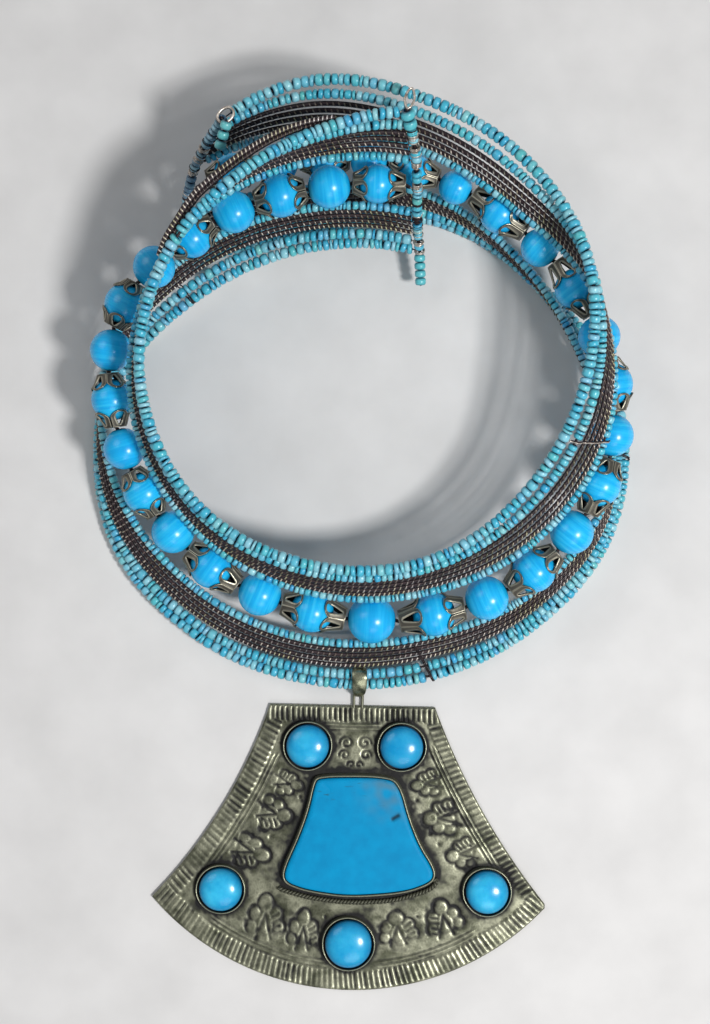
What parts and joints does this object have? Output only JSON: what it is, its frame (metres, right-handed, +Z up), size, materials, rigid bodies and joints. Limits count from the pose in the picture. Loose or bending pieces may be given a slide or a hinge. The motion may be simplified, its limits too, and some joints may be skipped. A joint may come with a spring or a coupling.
{
  "type": "beaded choker",
  "caption": "Wide beaded choker: rows of small beads, coiled wire and a row of capped glass beads, overlapped at the back, with a fan-shaped metal pendant set with blue stones.",
  "frame": {"origin": "bottom centre of the bounding box, on the surface that the choker rests on", "axes": "+Z up out of the neck opening, -Y towards the pendant, +X to the right as seen from above with the pendant nearest"},
  "size_m": [0.1307, 0.2157, 0.0423],
  "materials": {
    "small_beads": "glossy opaque glass",
    "blue_glass": "glossy opaque wound glass",
    "coiled_wire": "dark aged bronze wire",
    "cap_metal": "antique bronze",
    "pendant_metal": "aged nickel silver",
    "blue_stone": "polished"
  },
  "bodies": {
    "root": {"row_rim_upper": "small_beads", "row_second": "small_beads", "coil_upper_1": "coiled_wire", "coil_upper_2": "coiled_wire", "coil_upper_3": "coiled_wire", "coil_upper_4": "coiled_wire", "row_thin_upper": "small_beads", "row_thin_lower": "small_beads", "coil_lower_1": "coiled_wire", "coil_lower_2": "coiled_wire", "coil_lower_3": "coiled_wire", "coil_lower_4": "coiled_wire", "row_eighth": "small_beads", "row_rim_lower": "small_beads", "bead_01": "blue_glass", "bead_02": "blue_glass", "bead_03": "blue_glass", "bead_04": "blue_glass", "bead_05": "blue_glass", "bead_06": "blue_glass", "bead_07": "blue_glass", "bead_08": "blue_glass", "bead_09": "blue_glass", "bead_10": "blue_glass", "bead_11": "blue_glass", "bead_12": "blue_glass", "bead_13": "blue_glass", "bead_14": "blue_glass", "bead_15": "blue_glass", "bead_16": "blue_glass", "bead_17": "blue_glass", "bead_18": "blue_glass", "bead_19": "blue_glass", "bead_20": "blue_glass", "bead_21": "blue_glass", "bead_22": "blue_glass", "bead_23": "blue_glass", "bead_24": "blue_glass", "bead_25": "blue_glass", "bead_26": "blue_glass", "bead_27": "blue_glass", "bead_28": "blue_glass", "bead_29": "blue_glass", "bead_30": "blue_glass", "bead_31": "blue_glass", "bead_32": "blue_glass", "bead_33": "blue_glass", "bead_wire": "coiled_wire", "bead_caps": "cap_metal", "end_bar_a": "small_beads", "end_bar_b": "small_beads", "bail": "pendant_metal", "pendant_plate": "pendant_metal", "cabochon_1": "blue_stone", "cabochon_2": "blue_stone", "cabochon_3": "blue_stone", "cabochon_4": "blue_stone", "cabochon_5": "blue_stone", "centre_stone": "blue_stone"}
  },
  "joints": []
}
